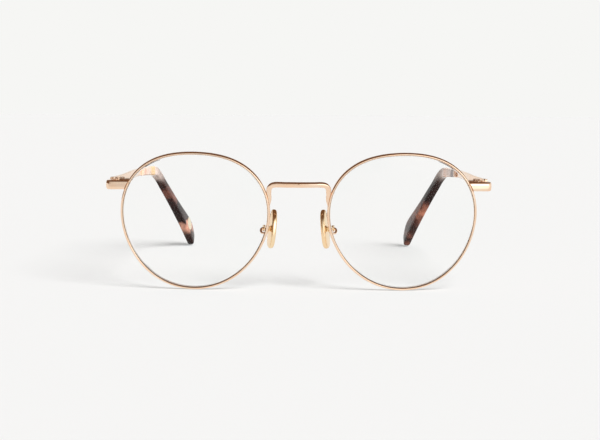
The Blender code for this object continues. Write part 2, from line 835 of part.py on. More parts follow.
split_z = math.sin(SPLIT_ANGLE) * rim_radius(SPLIT_ANGLE)
block = 1.25 * MM
half_split = SPLIT_GAP / 2
left.append(
    make_closing_block(
        "closing_block_upper_left", lens_axis, rim_cutter, split_z + half_split, split_z + block
    )
)
left.append(
    make_closing_block(
        "closing_block_lower_left", lens_axis, rim_cutter, split_z - block, split_z - half_split
    )
)
left.append(
    make_screw(
        "closing_screw_left",
        lens_axis,
        CLOSING_AXIS,
        0.44 * MM,
        split_z - block - 0.2 * MM,
        0.80 * MM,
        split_z + block + FIT,
        split_z + block + 0.45 * MM,
    )
)
left.append(make_hinge_front(hinge))
left.append(
    make_screw(
        "hinge_screw_left",
        hinge,
        (0.0, 0.0),
        PIN_RADIUS,
        -BARREL_HALF_HEIGHT - 0.15 * MM,
        0.95 * MM,
        BARREL_HALF_HEIGHT + FIT,
        BARREL_HALF_HEIGHT + 0.5 * MM,
    )
)

path = temple_path()
make_temple_tip(hinge, path)
temple = [make_temple_bar(hinge, path), make_hinge_temple(hinge)]

pad_place = pad_matrix()
pad_axis = empty("pad_axis_left", pad_place.translation, pad_place.to_euler())
bpy.context.view_layer.update()
left.append(make_nose_pad(pad_axis))
left.append(make_pad_box(pad_axis))
foot = lens_axis.matrix_world @ rim_point(PAD_FOOT_ANGLE, 0, RIM_HALF_DEPTH + FIT)
left.append(make_pad_arm(pad_place, foot))
pin_turn = Matrix.Rotation(math.pi / 2, 4, "Y")
left.append(
    make_screw(
        "pad_screw_left",
        pad_axis,
        (0.0, 0.0),
        0.32 * MM,
        -1.3 * MM,
        0.55 * MM,
        1.2 * MM + FIT,
        1.5 * MM,
        pin_turn,
    )
)

for piece in left:
    mirrored(piece, piece.name.replace("_left", "_right"))
for piece in temple[:2]:
    mirrored(piece, piece.name.replace("_left", "_right"), hinge_right)

# Only the wearer's right tip carries the disc, so it is mirrored from one that is cut for it.
cut_tip, disc = make_inlay(make_temple_tip(hinge, path), path)
mirrored(cut_tip, "temple_tip_right", hinge_right)
mirrored(disc, "tip_inlay_right", hinge_right)
for spare in (cut_tip, disc):
    bpy.data.objects.remove(spare)
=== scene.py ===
"""The looks of the round metal eyeglasses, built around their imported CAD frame.

+X points to the wearer's left, +Y back along the temples and +Z up, in metres. Every paired piece
is built for the wearer's left, and its twin is mirrored across X = 0.
"""

import math

import bmesh
import bpy
from mathutils import Matrix, Vector


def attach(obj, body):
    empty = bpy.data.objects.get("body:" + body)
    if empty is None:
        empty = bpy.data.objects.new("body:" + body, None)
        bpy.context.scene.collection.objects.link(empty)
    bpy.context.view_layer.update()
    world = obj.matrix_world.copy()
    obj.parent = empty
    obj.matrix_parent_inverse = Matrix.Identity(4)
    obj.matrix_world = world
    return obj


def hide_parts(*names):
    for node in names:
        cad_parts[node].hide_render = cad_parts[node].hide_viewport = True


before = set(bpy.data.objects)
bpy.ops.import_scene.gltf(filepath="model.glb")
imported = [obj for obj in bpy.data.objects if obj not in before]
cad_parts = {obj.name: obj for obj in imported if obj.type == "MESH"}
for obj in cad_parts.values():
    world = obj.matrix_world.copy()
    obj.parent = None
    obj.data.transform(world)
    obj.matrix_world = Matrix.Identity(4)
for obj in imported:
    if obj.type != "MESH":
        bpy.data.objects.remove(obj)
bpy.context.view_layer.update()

MM = 0.001

# ---- The CAD's driving dimensions ---------------------------------------------------------
LENS_SPACING = 72.7 * MM
PANTO_TILT = math.radians(8.0)
FACE_WRAP = math.radians(3.0)
BASE_RADIUS = 110.0 * MM
DATUM_RADIUS = 24.5 * MM
FRONT_Y = -61.5 * MM
LENS_Z = 24.75 * MM
RIM_MEAN = 25.12 * MM
RIM_SIN = {1: 0.68 * MM, 2: -0.20 * MM, 3: 0.78 * MM}
RIM_COS = {2: 0.67 * MM, 3: -0.15 * MM, 4: -0.22 * MM}
RIM_HALF_WIDTH = 0.54 * MM
RIM_HALF_DEPTH = 0.90 * MM
GROOVE_DEPTH = 0.45 * MM
GROOVE_HALF_MOUTH = 0.42 * MM
SPLIT_ANGLE = math.radians(30.0)
SPLIT_GAP = 0.30 * MM
LENS_THICKNESS = 1.70 * MM
FIT = 0.05 * MM
ENDPIECE_X = 67.3 * MM
ENDPIECE_Z = 37.4 * MM
ENDPIECE_HEIGHT = 3.2 * MM
ENDPIECE_THICK = (1.15 * MM, 1.40 * MM)  # at the rim, and past the corner
ENDPIECE_TURN = 2.0 * MM
HINGE_X = 64.2 * MM
HINGE_Y = FRONT_Y + 7.2 * MM
BAR_INNER_X = ENDPIECE_X - ENDPIECE_THICK[1] - HINGE_X
BAR_THICKNESS = 1.2 * MM
TEMPLE_TOE = math.radians(6.5)
BAR_START_HEIGHT = 3.6 * MM
BAR_END_HEIGHT = 2.9 * MM
JUNCTION = 49.0 * MM
CORE_HALF = (0.45 * MM, 0.75 * MM)
CORE_STOP = 20.0 * MM
PAD_SIZE = (6.8 * MM, 14.0 * MM, 1.9 * MM)
PAD_TAPER = 0.16
PAD_CENTRE = Vector((9.35 * MM, FRONT_Y + 5.0 * MM, 21.6 * MM))
PAD_SPLAY = math.radians(15.0)
PAD_LEAN = math.radians(6.0)
PAD_FOOT_ANGLE = math.radians(189.0)
PAD_PIVOT = 1.15 * MM
INLAY_RADIUS = 2.9 * MM
INLAY_DEPTH = 0.45 * MM
INLAY_STATION = 10.8 * MM

# ---- How finely the shown pieces are built ------------------------------------------------
RIM_STEPS = 240
LENS_SHARES = (0.15, 0.3, 0.45, 0.6, 0.72, 0.82, 0.9, 0.96)
WIRE_STEPS = 56

# ---- How square each section's superellipse is (2 is an ellipse) ---------------------------
RIM_POWER = 2.1
BRIDGE_POWER = 2.3
ENDPIECE_POWER = 2.9
BAR_POWER = 6.0
CORE_POWER = 4.0
TIP_POWER = 4.4
PAD_POWER = 2.4
TAB_POWER = 8.0

# ---- Colours, as linear red, green and blue -----------------------------------------------
ROSE_GOLD = (0.93, 0.70, 0.52)
YELLOW_GOLD = (0.95, 0.73, 0.46)
SCREW_GOLD = (0.70, 0.50, 0.36)
INLAY_GOLD = (0.96, 0.87, 0.66)
BLACK = (0.018, 0.007, 0.006)
UMBER = (0.035, 0.014, 0.010)
CHESTNUT = (0.10, 0.02, 0.015)
RUSSET = (0.13, 0.050, 0.036)
SIENNA = (0.34, 0.13, 0.08)
BLUSH = (0.42, 0.21, 0.15)
SMOKE = (0.42, 0.34, 0.31)
COPPER = (0.75, 0.34, 0.20)
APRICOT = (0.85, 0.45, 0.27)
MILK = (0.76, 0.60, 0.52)
HONEY = (0.90, 0.55, 0.20)
PEACH = (0.88, 0.62, 0.48)

# ---- Floor, room, key light and camera ----------------------------------------------------
BACKDROP = (0.9216, 0.9216, 0.9047)
ROOM_SHADE = (0.17, 0.095, 0.055)
FLOOR_RADIUS = 4.0
FLOOR_WHITE = 0.50
FLOOR_TINT = (0.885, 0.971, 1.0)
FLOOR_GLOW = 0.349
KEY_PLACE = Vector((0.6, -0.92, 1.0))
KEY_ENERGY = 4.6
KEY_SPREAD = math.radians(34)
CAMERA_PLACE = (0.000485, -0.46335, 0.0679)
CAMERA_PITCH = math.radians(6.05)
CAMERA_ROLL = math.radians(0.33)
CAMERA_LENS = 69.31

# ---- Where things stand -------------------------------------------------------------------
FLIP = Matrix.Diagonal((-1, 1, 1, 1))
FRONT = Matrix.Translation((0, FRONT_Y, LENS_Z)) @ Matrix.Rotation(PANTO_TILT, 4, "X")
LENS = FRONT @ Matrix.Translation((LENS_SPACING / 2, 0, 0)) @ Matrix.Rotation(FACE_WRAP, 4, "Z")
HINGE = Matrix.Translation((HINGE_X, HINGE_Y, ENDPIECE_Z))


# ---- Material helpers ---------------------------------------------------------------------
class Nodes:
    """A node tree, with short calls for the nodes that the looks and the room share."""

    def __init__(self, owner, coordinates):
        owner.use_nodes = True
        self.nodes = owner.node_tree.nodes
        self.links = owner.node_tree.links
        self.position = self.nodes.new("ShaderNodeTexCoord").outputs[coordinates]

    def link(self, source, socket):
        self.links.new(source, socket)

    def ray(self, kind):
        return self.nodes.new("ShaderNodeLightPath").outputs[kind]

    def stretched(self, scale, turn=(0, 0, 0)):
        node = self.nodes.new("ShaderNodeMapping")
        node.inputs["Scale"].default_value = scale
        node.inputs["Rotation"].default_value = turn
        self.link(self.position, node.inputs["Vector"])
        return node.outputs["Vector"]

    def noise(self, scale, detail=2.0, vector=None, distortion=0.0):
        node = self.nodes.new("ShaderNodeTexNoise")
        node.inputs["Scale"].default_value = scale
        node.inputs["Detail"].default_value = detail
        node.inputs["Distortion"].default_value = distortion
        self.link(vector or self.position, node.inputs["Vector"])
        return node.outputs["Fac"]

    def ramp(self, source, stops):
        """stops is a row of (position, (r, g, b))."""
        node = self.nodes.new("ShaderNodeValToRGB")
        made = node.color_ramp.elements
        while len(made) < len(stops):
            made.new(1.0)
        for element, (position, colour) in zip(made, stops):
            element.position = position
            element.color = (*colour, 1.0)
        self.link(source, node.inputs["Fac"])
        return node.outputs["Color"]

    def range(self, source, low, high, to_low, to_high, kind="SMOOTHSTEP"):
        node = self.nodes.new("ShaderNodeMapRange")
        node.interpolation_type = kind
        for socket, value in zip(
            ("From Min", "From Max", "To Min", "To Max"), (low, high, to_low, to_high)
        ):
            node.inputs[socket].default_value = value
        self.link(source, node.inputs["Value"])
        return node.outputs["Result"]

    def math(self, operation, first, second):
        node = self.nodes.new("ShaderNodeMath")
        node.operation = operation
        for socket, value in zip(node.inputs, (first, second)):
            if isinstance(value, (int, float)):
                socket.default_value = value
            else:
                self.link(value, socket)
        return node.outputs["Value"]

    def mix(self, factor, first, second, kind="MIX"):
        node = self.nodes.new("ShaderNodeMix")
        node.data_type = "RGBA"
        node.blend_type = kind
        for index, value in ((0, factor), (6, first), (7, second)):
            socket = node.inputs[index]
            if isinstance(value, tuple):
                socket.default_value = (*value, 1.0)
            elif isinstance(value, (int, float)):
                socket.default_value = value
            else:
                self.link(value, socket)
        return node.outputs[2]

    def product(self, *factors):
        made = factors[0]
        for factor in factors[1:]:
            made = self.math("MULTIPLY", made, factor)
        return made

    def axis(self, index):
        node = self.nodes.new("ShaderNodeSeparateXYZ")
        self.link(self.position, node.inputs["Vector"])
        return node.outputs[index]


class Look(Nodes):
    """A material, whose constants are set on its own shader's sockets."""

    def __init__(self, name, **constants):
        self.material = bpy.data.materials.new(name)
        super().__init__(self.material, "Object")
        self.shader = self.nodes["Principled BSDF"]
        for socket, value in constants.items():
            self.shader.inputs[socket.replace("_", " ")].default_value = value

    def bump(self, height, strength, distance):
        node = self.nodes.new("ShaderNodeBump")
        node.inputs["Strength"].default_value = strength
        node.inputs["Distance"].default_value = distance
        self.link(height, node.inputs["Height"])
        self.link(node.outputs["Normal"], self.shader.inputs["Normal"])


def metal(name, tint, roughness, streak=(1, 1, 0.12)):
    """Polished plating: a slightly uneven tint, hairline scratches, and brighter worn edges."""
    look = Look(name, Metallic=1.0)
    warm = tuple(min(1.0, value * factor) for value, factor in zip(tint, (1.02, 0.95, 0.90)))
    cool = tuple(min(1.0, value * factor) for value, factor in zip(tint, (1.00, 1.03, 1.06)))
    patches = look.noise(170.0, 3.0)
    colour = look.ramp(patches, [(0.35, warm), (0.65, cool)])
    worn = look.nodes.new("ShaderNodeNewGeometry").outputs["Pointiness"]
    worn = look.range(worn, 0.52, 0.64, 0.0, 0.35)
    pale = tuple(min(1.0, value * 1.08 + 0.03) for value in tint)
    look.link(look.mix(worn, colour, pale), look.shader.inputs["Base Color"])
    hairlines = look.noise(2600.0, 4.0, look.stretched(streak, (0.5, 0.3, 0.2)))
    smudges = look.noise(420.0, 2.0)
    both = look.product(hairlines, smudges)
    rough = look.range(both, 0.12, 0.42, roughness * 0.65, roughness * 1.5)
    look.link(rough, look.shader.inputs["Roughness"])
    look.bump(hairlines, 0.12, 0.01 * MM)
    return look.material


def lens_glass():
    """A clear coated lens: faint tint variation and the lightest smudges."""
    look = Look("clear_lens", Transmission_Weight=1.0, IOR=1.12, Specular_IOR_Level=0.3)
    film = look.noise(60.0, 2.0)
    tint = look.ramp(film, [(0.3, (0.985, 0.995, 0.99)), (0.7, (1.0, 0.998, 0.995))])
    look.link(tint, look.shader.inputs["Base Color"])
    smear = look.noise(35.0, 4.0, distortion=0.6)
    look.link(look.range(smear, 0.45, 0.75, 0.0, 0.012), look.shader.inputs["Roughness"])
    return look.material


def lens_edge_painted_reflection():
    """The ground edge of the lens, with the warm reflection of the gold groove round it painted
    into its colour.
    """
    look = Look("lens_edge_painted_reflection", Specular_IOR_Level=0.3)
    grind = look.noise(900.0, 3.0)
    # Painted reflection: these browns stand in for the gold groove mirrored in the edge, and the
    # grinding noise only varies them.
    tint = look.ramp(grind, [(0.3, (0.50, 0.33, 0.22)), (0.7, (0.66, 0.46, 0.33))])
    look.link(tint, look.shader.inputs["Base Color"])
    look.link(look.range(grind, 0.3, 0.7, 0.35, 0.55), look.shader.inputs["Roughness"])
    look.bump(grind, 0.2, 0.01 * MM)
    return look.material


def acetate(name, front_stops, stops):
    """Mottled tortoise acetate, coloured along its length, with veils and clouds inside it.

    front_stops colours the straight part from its front end to the bend, and stops the rest from
    the bend to the tip's end.
    """
    look = Look(name, Specular_IOR_Level=0.13, IOR=1.49, Specular_Tint=(1.0, 0.80, 0.72, 1.0))
    wander = look.math("SUBTRACT", look.noise(85.0, 2.0, distortion=0.9), 0.5)
    depth, height = look.axis(1), look.axis(2)
    slanting = look.math("SUBTRACT", look.product(depth, 0.69), look.product(height, 0.73))
    across = look.math("ADD", look.product(depth, 0.73), look.product(height, 0.69))
    drift = look.product(look.math("SUBTRACT", across, 0.0485), -1.1)
    along = look.math("ADD", slanting, look.product(wander, 0.014))
    along = look.math("ADD", along, drift)
    rear = look.ramp(look.range(along, 0.002, 0.046, 0.0, 1.0, "LINEAR"), stops)
    clouds = look.noise(120.0, 2.0, look.stretched((1.6, 1, 1), (0.75, 0, 0)), 1.2)
    flecks = look.ramp(
        clouds, [(0.40, (0.55, 0.50, 0.50)), (0.52, (1.0, 1.0, 1.0)), (0.68, (1.5, 1.45, 1.4))]
    )
    rear = look.mix(1.0, rear, flecks, "MULTIPLY")
    straight = look.math("ADD", depth, look.product(wander, 0.006))
    fore = look.ramp(look.range(straight, -0.006, 0.036, 0.0, 1.0, "LINEAR"), front_stops)
    veils = look.ramp(
        look.noise(230.0, 2.0, look.stretched((1, 0.3, 1)), 0.5),
        [(0.35, (0.86, 0.80, 0.76)), (0.65, (1.08, 1.08, 1.08))],
    )
    fore = look.mix(1.0, fore, veils, "MULTIPLY")
    bend = look.math("ADD", drift, straight)
    colour = look.mix(look.range(bend, 0.0325, 0.0365, 0.0, 1.0), fore, rear)
    look.link(colour, look.shader.inputs["Base Color"])
    polish = look.noise(300.0, 3.0)
    look.link(look.range(polish, 0.3, 0.7, 0.08, 0.15), look.shader.inputs["Roughness"])
    look.bump(look.noise(160.0, 1.0), 0.05, 0.05 * MM)
    return look.material


GOLD = metal("rose_gold", ROSE_GOLD, 0.10)
PAD_GOLD = metal("yellow_gold", YELLOW_GOLD, 0.13)
SCREW = metal("screw_gold", SCREW_GOLD, 0.22, (1, 0.15, 1))
INLAY = metal("inlay_gold", INLAY_GOLD, 0.30, (1, 0.1, 1))
GLASS = lens_glass()
GLASS_EDGE_PAINTED_REFLECTION = lens_edge_painted_reflection()
ACETATE_RIGHT = acetate(
    "tortoise_right",
    [(0.0, PEACH), (0.10, PEACH), (0.14, COPPER), (0.20, PEACH), (0.40, MILK)]
    + [(0.48, HONEY), (0.66, HONEY), (0.74, MILK), (0.92, SMOKE)],
    [(0.0, UMBER), (0.06, BLACK), (0.14, RUSSET), (0.24, RUSSET), (0.34, BLACK), (0.60, BLACK)]
    + [(0.63, BLUSH), (0.72, BLUSH), (0.80, UMBER), (0.88, BLACK), (1.0, BLACK)],
)
ACETATE_LEFT = acetate(
    "tortoise_left",
    [(0.0, PEACH), (0.10, PEACH), (0.14, CHESTNUT), (0.24, CHESTNUT)]
    + [(0.30, MILK), (0.48, PEACH), (0.62, APRICOT), (0.74, MILK), (0.90, SMOKE)],
    [(0.0, UMBER), (0.10, BLACK), (0.30, BLACK), (0.38, RUSSET), (0.50, SIENNA)]
    + [(0.60, RUSSET), (0.70, UMBER), (0.82, RUSSET), (0.88, BLACK), (0.95, RUSSET)],
)


# ---- Mesh helpers -------------------------------------------------------------------------
def mesh_from(work, name):
    bmesh.ops.recalc_face_normals(work, faces=work.faces)
    mesh = bpy.data.meshes.new(name)
    work.to_mesh(mesh)
    work.free()
    return mesh


def loft(name, rings):
    """Skins a row of rings that have the same number of points, and caps both ends."""
    work = bmesh.new()
    rows = [[work.verts.new(point) for point in ring] for ring in rings]
    for first, second in zip(rows, rows[1:]):
        for i in range(len(first)):
            j = (i + 1) % len(first)
            work.faces.new((first[i], first[j], second[j], second[i]))
    for row in (rows[0], rows[-1]):
        work.faces.new(row)
    return mesh_from(work, name)


def lathe(name, profile, sides):
    """Turns (radius, height) points about Z. The first and last radius is 0."""
    work = bmesh.new()
    poles = [work.verts.new((0, 0, z)) for _, z in (profile[0], profile[-1])]
    turns = [2 * math.pi * i / sides for i in range(sides)]
    rows = []
    for radius, z in profile[1:-1]:
        points = [(radius * math.cos(turn), radius * math.sin(turn), z) for turn in turns]
        rows.append([work.verts.new(point) for point in points])
    for i in range(sides):
        j = (i + 1) % sides
        for one, two in zip(rows, rows[1:]):
            work.faces.new((one[i], one[j], two[j], two[i]))
        work.faces.new((poles[0], rows[0][j], rows[0][i]))
        work.faces.new((poles[1], rows[-1][i], rows[-1][j]))
    return mesh_from(work, name)


def joined(name, meshes):
    """One mesh that holds the shells of several."""
    work = bmesh.new()
    for mesh in meshes:
        work.from_mesh(mesh)
    made = bpy.data.meshes.new(name)
    work.to_mesh(made)
    work.free()
    return made


def cut(mesh, cutters):
    """What is left of the mesh once each of the cutters' meshes is taken out of it."""
    holder = bpy.data.objects.new("cut_work", mesh)
    bpy.context.scene.collection.objects.link(holder)
    helpers = []
    for shape in cutters:
        helper = bpy.data.objects.new("cut_helper", shape)
        bpy.context.scene.collection.objects.link(helper)
        modifier = holder.modifiers.new("cut", "BOOLEAN")
        modifier.operation = "DIFFERENCE"
        modifier.object = helper
        helpers.append(helper)
    bpy.context.view_layer.update()
    graph = bpy.context.evaluated_depsgraph_get()
    made = bpy.data.meshes.new_from_object(holder.evaluated_get(graph))
    for helper in [holder, *helpers]:
        bpy.data.objects.remove(helper)
    work = bmesh.new()
    work.from_mesh(made)
    bmesh.ops.remove_doubles(work, verts=work.verts, dist=0.0005 * MM)
    work.to_mesh(made)
    work.free()
    return made


def oval(half_width, half_height, count, power=2.0):
    """Points of a superellipse, as (across, up), anticlockwise."""
    points = []
    for i in range(count):
        turn = 2 * math.pi * (i + 0.5) / count
        c, s = math.cos(turn), math.sin(turn)
        points.append(
            (
                half_width * math.copysign(abs(c) ** (2 / power), c),
                half_height * math.copysign(abs(s) ** (2 / power), s),
            )
        )
    return points


def frames(path, across):
    """(point, across axis, up axis) along a path, with across kept near the given one."""
    made = []
    for i, point in enumerate(path):
        along = (path[min(i + 1, len(path) - 1)] - path[max(i - 1, 0)]).normalized()
        side = (across - along * across.dot(along)).normalized()
        made.append((point, side, side.cross(along)))
    return made


def bezier(points, steps):
    """Points along a Bezier curve of any order, both ends included."""
    made = []
    for i in range(steps + 1):
        row = [Vector(p) for p in points]
        while len(row) > 1:
            row = [a.lerp(b, i / steps) for a, b in zip(row, row[1:])]
        made.append(row[0])
    return made


def through(points, steps):
    """Points of a smooth curve that passes through every given point."""
    points = [Vector(p) for p in points]
    ends = [points[0] * 2 - points[1]] + points + [points[-1] * 2 - points[-2]]
    made = []
    for a, b, c, d in zip(ends, ends[1:], ends[2:], ends[3:]):
        for i in range(steps):
            t = i / steps
            bend = (2 * a - 5 * b + 4 * c - d) * t * t + (3 * b - 3 * c + d - a) * t**3
            made.append(b + ((c - a) * t + bend) / 2)
    return made + [points[-1]]


def between(table, at):
    """Values of a table of (station, value, value, ...), in straight lines between its rows."""
    for low, high in zip(table, table[1:]):
        if at <= high[0]:
            t = max(0.0, (at - low[0]) / (high[0] - low[0]))
            return [a + (b - a) * t for a, b in zip(low[1:], high[1:])]
    return list(table[-1][1:])


def eased(table, at, reach):
    """The table's values averaged over a stretch either side, so that its corners are rounded."""
    taken = [between(table, max(0.0, at + reach * k / 4)) for k in range(-4, 5)]
    return [sum(row) / len(taken) for row in zip(*taken)]


def show(name, mesh, look, body, nodes, smooth=40.0):
    """A finished piece that stands for CAD nodes and rides on their body."""
    obj = bpy.data.objects.new(name, mesh)
    bpy.context.scene.collection.objects.link(obj)
    mesh.materials.clear()
    for each in look if isinstance(look, tuple) else (look,):
        mesh.materials.append(each)
    mesh.shade_smooth()
    mesh.set_sharp_from_angle(angle=math.radians(smooth))
    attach(obj, body)
    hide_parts(*nodes)
    return obj


def flipped(mesh):
    """The mesh's twin across X = 0."""
    twin = mesh.copy()
    twin.transform(FLIP)
    twin.flip_normals()
    return twin


def show_pair(name, mesh, look, bodies, node, smooth=40.0):
    """A piece for the wearer's left and its twin for the right."""
    made = []
    for side, shape, body in zip(("left", "right"), (mesh, flipped(mesh)), bodies):
        made.append(show(f"{name}_{side}", shape, look, body, [f"{node}_{side}"], smooth))
    return made


# ---- The rims and lenses ------------------------------------------------------------------
def rim_radius(angle):
    radius = RIM_MEAN
    for turns, size in RIM_SIN.items():
        radius += size * math.sin(turns * angle)
    for turns, size in RIM_COS.items():
        radius += size * math.cos(turns * angle)
    return radius


def bow(distance):
    """How far the lens sphere lies behind the datum plane at a distance from the lens centre."""
    return (distance**2 - DATUM_RADIUS**2) / (2 * BASE_RADIUS)


def rim_point(angle, outwards=0.0, back=0.0):
    """A point beside the rim's centre line, in the lens's own frame."""
    here = Vector((math.cos(angle), 0, math.sin(angle))) * rim_radius(angle)
    step = 1e-3
    ahead = Vector((math.cos(angle + step), 0, math.sin(angle + step)))
    along = (ahead * rim_radius(angle + step) - here).normalized()
    outward = Vector((along.z, 0, -along.x))
    return here + outward * outwards + Vector((0, bow(rim_radius(angle)) + back, 0))


def rim_section():
    """The eyewire's section as (outwards, back): a rounded strip with a V groove inside."""
    start = math.asin((GROOVE_HALF_MOUTH / RIM_HALF_DEPTH) ** (RIM_POWER / 2))
    half = [
        (-RIM_HALF_WIDTH + GROOVE_DEPTH, 0.0),
        (-RIM_HALF_WIDTH + GROOVE_DEPTH * 0.9, 0.05 * MM),
    ]
    count = 14
    for i in range(count + 1):
        turn = math.pi - start - (math.pi - start) * i / count
        c, s = math.cos(turn), math.sin(turn)
        half.append(
            (
                RIM_HALF_WIDTH * math.copysign(abs(c) ** (2 / RIM_POWER), c),
                RIM_HALF_DEPTH * max(0.0, s) ** (2 / RIM_POWER),
            )
        )
    return half + [(out, -back) for out, back in reversed(half[1:-1])]


def rim_mesh():
    half_gap = SPLIT_GAP / 2 / rim_radius(SPLIT_ANGLE)
    first, last = SPLIT_ANGLE + half_gap, SPLIT_ANGLE + 2 * math.pi - half_gap
    section = rim_section()
    rings = []
    for i in range(RIM_STEPS + 1):
        angle = first + (last - first) * i / RIM_STEPS
        rings.append([rim_point(angle, out, back) for out, back in section])
    mesh = loft("rim_wire", rings)
    mesh.transform(LENS)
    return mesh


def lens_mesh():
    """A meniscus with a bevelled edge that seats in the rim's groove."""
    half = LENS_THICKNESS / 2
    land = GROOVE_HALF_MOUTH - FIT
    shoulder = -RIM_HALF_WIDTH - FIT
    apex = -RIM_HALF_WIDTH + GROOVE_DEPTH - 1.4 * FIT
    safety = 0.15 * MM
    faces = [(shoulder - safety, -half), (shoulder, -half + safety)]
    edge = faces + [(shoulder, -land), (apex, 0), (shoulder, land)]
    edge += [(out, -deep) for out, deep in reversed(faces)]

    def edge_point(angle, out, deep):
        """On the faces' own sphere near the faces, and centred in the rim's groove elsewhere."""
        point = rim_point(angle, out, deep)
        if abs(deep) > land:
            point.y = bow(math.hypot(point.x, point.z)) + deep
        return point

    angles = [2 * math.pi * i / RIM_STEPS for i in range(RIM_STEPS)]
    work = bmesh.new()
    rows = []
    for share in LENS_SHARES:
        row = []
        for angle in angles:
            out = rim_radius(angle) * share
            row.append(Vector((math.cos(angle) * out, bow(out), math.sin(angle) * out)))
        rows.append(row)
    back = Vector((0, half, 0))
    loops = [[work.verts.new(p - back) for p in row] for row in rows]
    loops += [[work.verts.new(edge_point(a, out, deep)) for a in angles] for out, deep in edge]
    loops += [[work.verts.new(p + back) for p in row] for row in reversed(rows)]
    for one, two in zip(loops, loops[1:]):
        for i in range(RIM_STEPS):
            j = (i + 1) % RIM_STEPS
            work.faces.new((one[i], one[j], two[j], two[i]))
    for loop, side in ((loops[0], -half), (loops[-1], half)):
        pole = work.verts.new((0, bow(0) + side, 0))
        for i in range(RIM_STEPS):
            work.faces.new((loop[i], loop[(i + 1) % RIM_STEPS], pole))
    made = mesh_from(work, "lens_glass")
    first = (len(LENS_SHARES) + 1) * RIM_STEPS
    for polygon in made.polygons:
        if first <= polygon.index < first + (len(edge) - 3) * RIM_STEPS:
            polygon.material_index = 1
    made.transform(LENS)
    return made


def rim_plate():
    """A thick plate inside the rim's outer outline, which trims what is brazed to the rim."""
    reach = 12 * MM
    rings = []
    for back in (-reach, reach):
        rings.append(
            [
                rim_point(2 * math.pi * i / RIM_STEPS, RIM_HALF_WIDTH - 0.08 * MM)
                + Vector((0, back, 0))
                for i in range(RIM_STEPS)
            ]
        )
    mesh = loft("rim_plate", rings)
    mesh.transform(LENS)
    return mesh


# ---- The bridge and endpieces -------------------------------------------------------------
def bridge_mesh():
    """A bar between the rims whose ends turn down into feet that fade out along them."""
    route = [(0, -3.0, 13.75), (4.6, -2.88, 13.75), (8.5, -2.65, 13.7), (10.05, -2.2, 12.6)]
    route += [(10.35, -1.5, 10.6), (10.1, -1.15, 8.2), (10.4, -1.15, 5.6)]
    half_path = through([Vector(p) * MM for p in route], 10)
    sizes = [(0, 0.80, 0.97), (9.0, 0.80, 0.97), (12.0, 0.78, 0.90), (14.5, 0.72, 0.72)]
    sizes.append((18.5, 0.40, 0.18))
    rings = []
    distance = 0.0
    previous = half_path[0]
    for point, deep, flat in frames(half_path, Vector((0, 1, 0))):
        distance += (point - previous).length
        previous = point
        half_depth, half_height = (value * MM for value in eased(sizes, distance / MM, 1.5))
        rings.append(
            [
                point + deep * a + flat * b
                for a, b in oval(half_depth, half_height, 32, BRIDGE_POWER)
            ]
        )
    other_half = [[Vector((-p.x, p.y, p.z)) for p in ring] for ring in reversed(rings[1:])]
    mesh = loft("bridge_bar", other_half + rings)
    mesh.transform(FRONT)
    plate = rim_plate()
    return cut(mesh, [plate, flipped(plate)])


def endpiece_mesh():
    """A strip that leaves the rim sideways and turns back to the hinge."""
    outer, front = ENDPIECE_X, FRONT_Y - 1.35 * MM
    thin, thick = ENDPIECE_THICK
    turn = ENDPIECE_TURN
    corner = [
        (outer - turn + turn * math.sin(a), front + turn - turn * math.cos(a), a)
        for a in (math.radians(6 * i) for i in range(16))
    ]
    start = 58.0 * MM
    face = [(start + (outer - turn - start) * i / 6, front, 0.0) for i in range(6)]
    rear = HINGE_Y - FIT
    side = [(outer, front + turn + (rear - front - turn) * i / 5, math.pi / 2) for i in range(1, 6)]
    rings = []
    for x, y, angle in face + corner + side:
        thickness = thin + (thick - thin) * angle / (math.pi / 2)
        inward = Vector((-math.sin(angle), math.cos(angle), 0))
        middle = Vector((x, y, ENDPIECE_Z)) + inward * thickness / 2
        rings.append(
            [
                middle + inward * a + Vector((0, 0, b))
                for a, b in oval(thickness / 2, ENDPIECE_HEIGHT / 2, 32, ENDPIECE_POWER)
            ]
        )
    return cut(loft("end_strip", rings), [rim_plate()])


# ---- Temples ------------------------------------------------------------------------------
def temple_path():
    """The temple's centre line, front to tip, as (distance, point) in the hinge's frame."""
    heading = Vector((-math.sin(TEMPLE_TOE), math.cos(TEMPLE_TOE), 0))
    front = Vector((BAR_INNER_X, 0, 0.3 * MM)) + heading * 0.15 * MM
    front += Vector((heading.y, -heading.x, 0)) * BAR_THICKNESS / 2
    junction = Vector((-1.2 * MM, JUNCTION, 0.8 * MM))
    into = Vector((-2.0 * MM, 79.0 * MM, -0.6 * MM))
    corner = Vector((-2.6 * MM, 87.0 * MM, -1.0 * MM))
    end = Vector((-14.9 * MM, 120.0 * MM, -36.4 * MM))
    out_of = corner.lerp(end, 0.17)
    bow_in = Vector((-1.2 * MM, 0, 0))
    near = front + heading * 24.0 * MM
    points = bezier([front, near, junction.lerp(into, -0.6), junction], 30)[:-1]
    points += [junction.lerp(into, i / 14) for i in range(14)]
    points += bezier([into, corner, out_of], 24)[:-1]
    points += bezier([out_of, out_of.lerp(end, 0.5) + bow_in, end], 50)
    distance, made = 0.0, [(0.0, points[0])]
    for one, two in zip(points, points[1:]):
        distance += (two - one).length
        made.append((distance, two))
    return made


def stations(path, low, high, extra=()):
    """The path's points between two distances, with exact ones added at both ends."""
    made = [(d, p) for d, p in path if low + 0.2 * MM < d < high - 0.2 * MM]
    for at in (low, high, *extra):
        for (d0, p0), (d1, p1) in zip(path, path[1:]):
            if d0 <= at <= d1:
                made.append((at, p0.lerp(p1, (at - d0) / (d1 - d0))))
                break
    return sorted(made, key=lambda item: item[0])


def section_rings(path, low, high, size, count, power, extra=()):
    """Rings along the path; size(distance) gives half thickness, reach down and reach up."""
    chosen = stations(path, low, high, extra)
    rings = []
    for (distance, _), (point, out, up) in zip(
        chosen, frames([p for _, p in chosen], Vector((1, 0, 0)))
    ):
        half, down, rise = size(distance)
        middle = point + up * (rise - down) / 2
        rings.append(
            [middle + out * a + up * b for a, b in oval(half, (down + rise) / 2, count, power)]
        )
    return rings


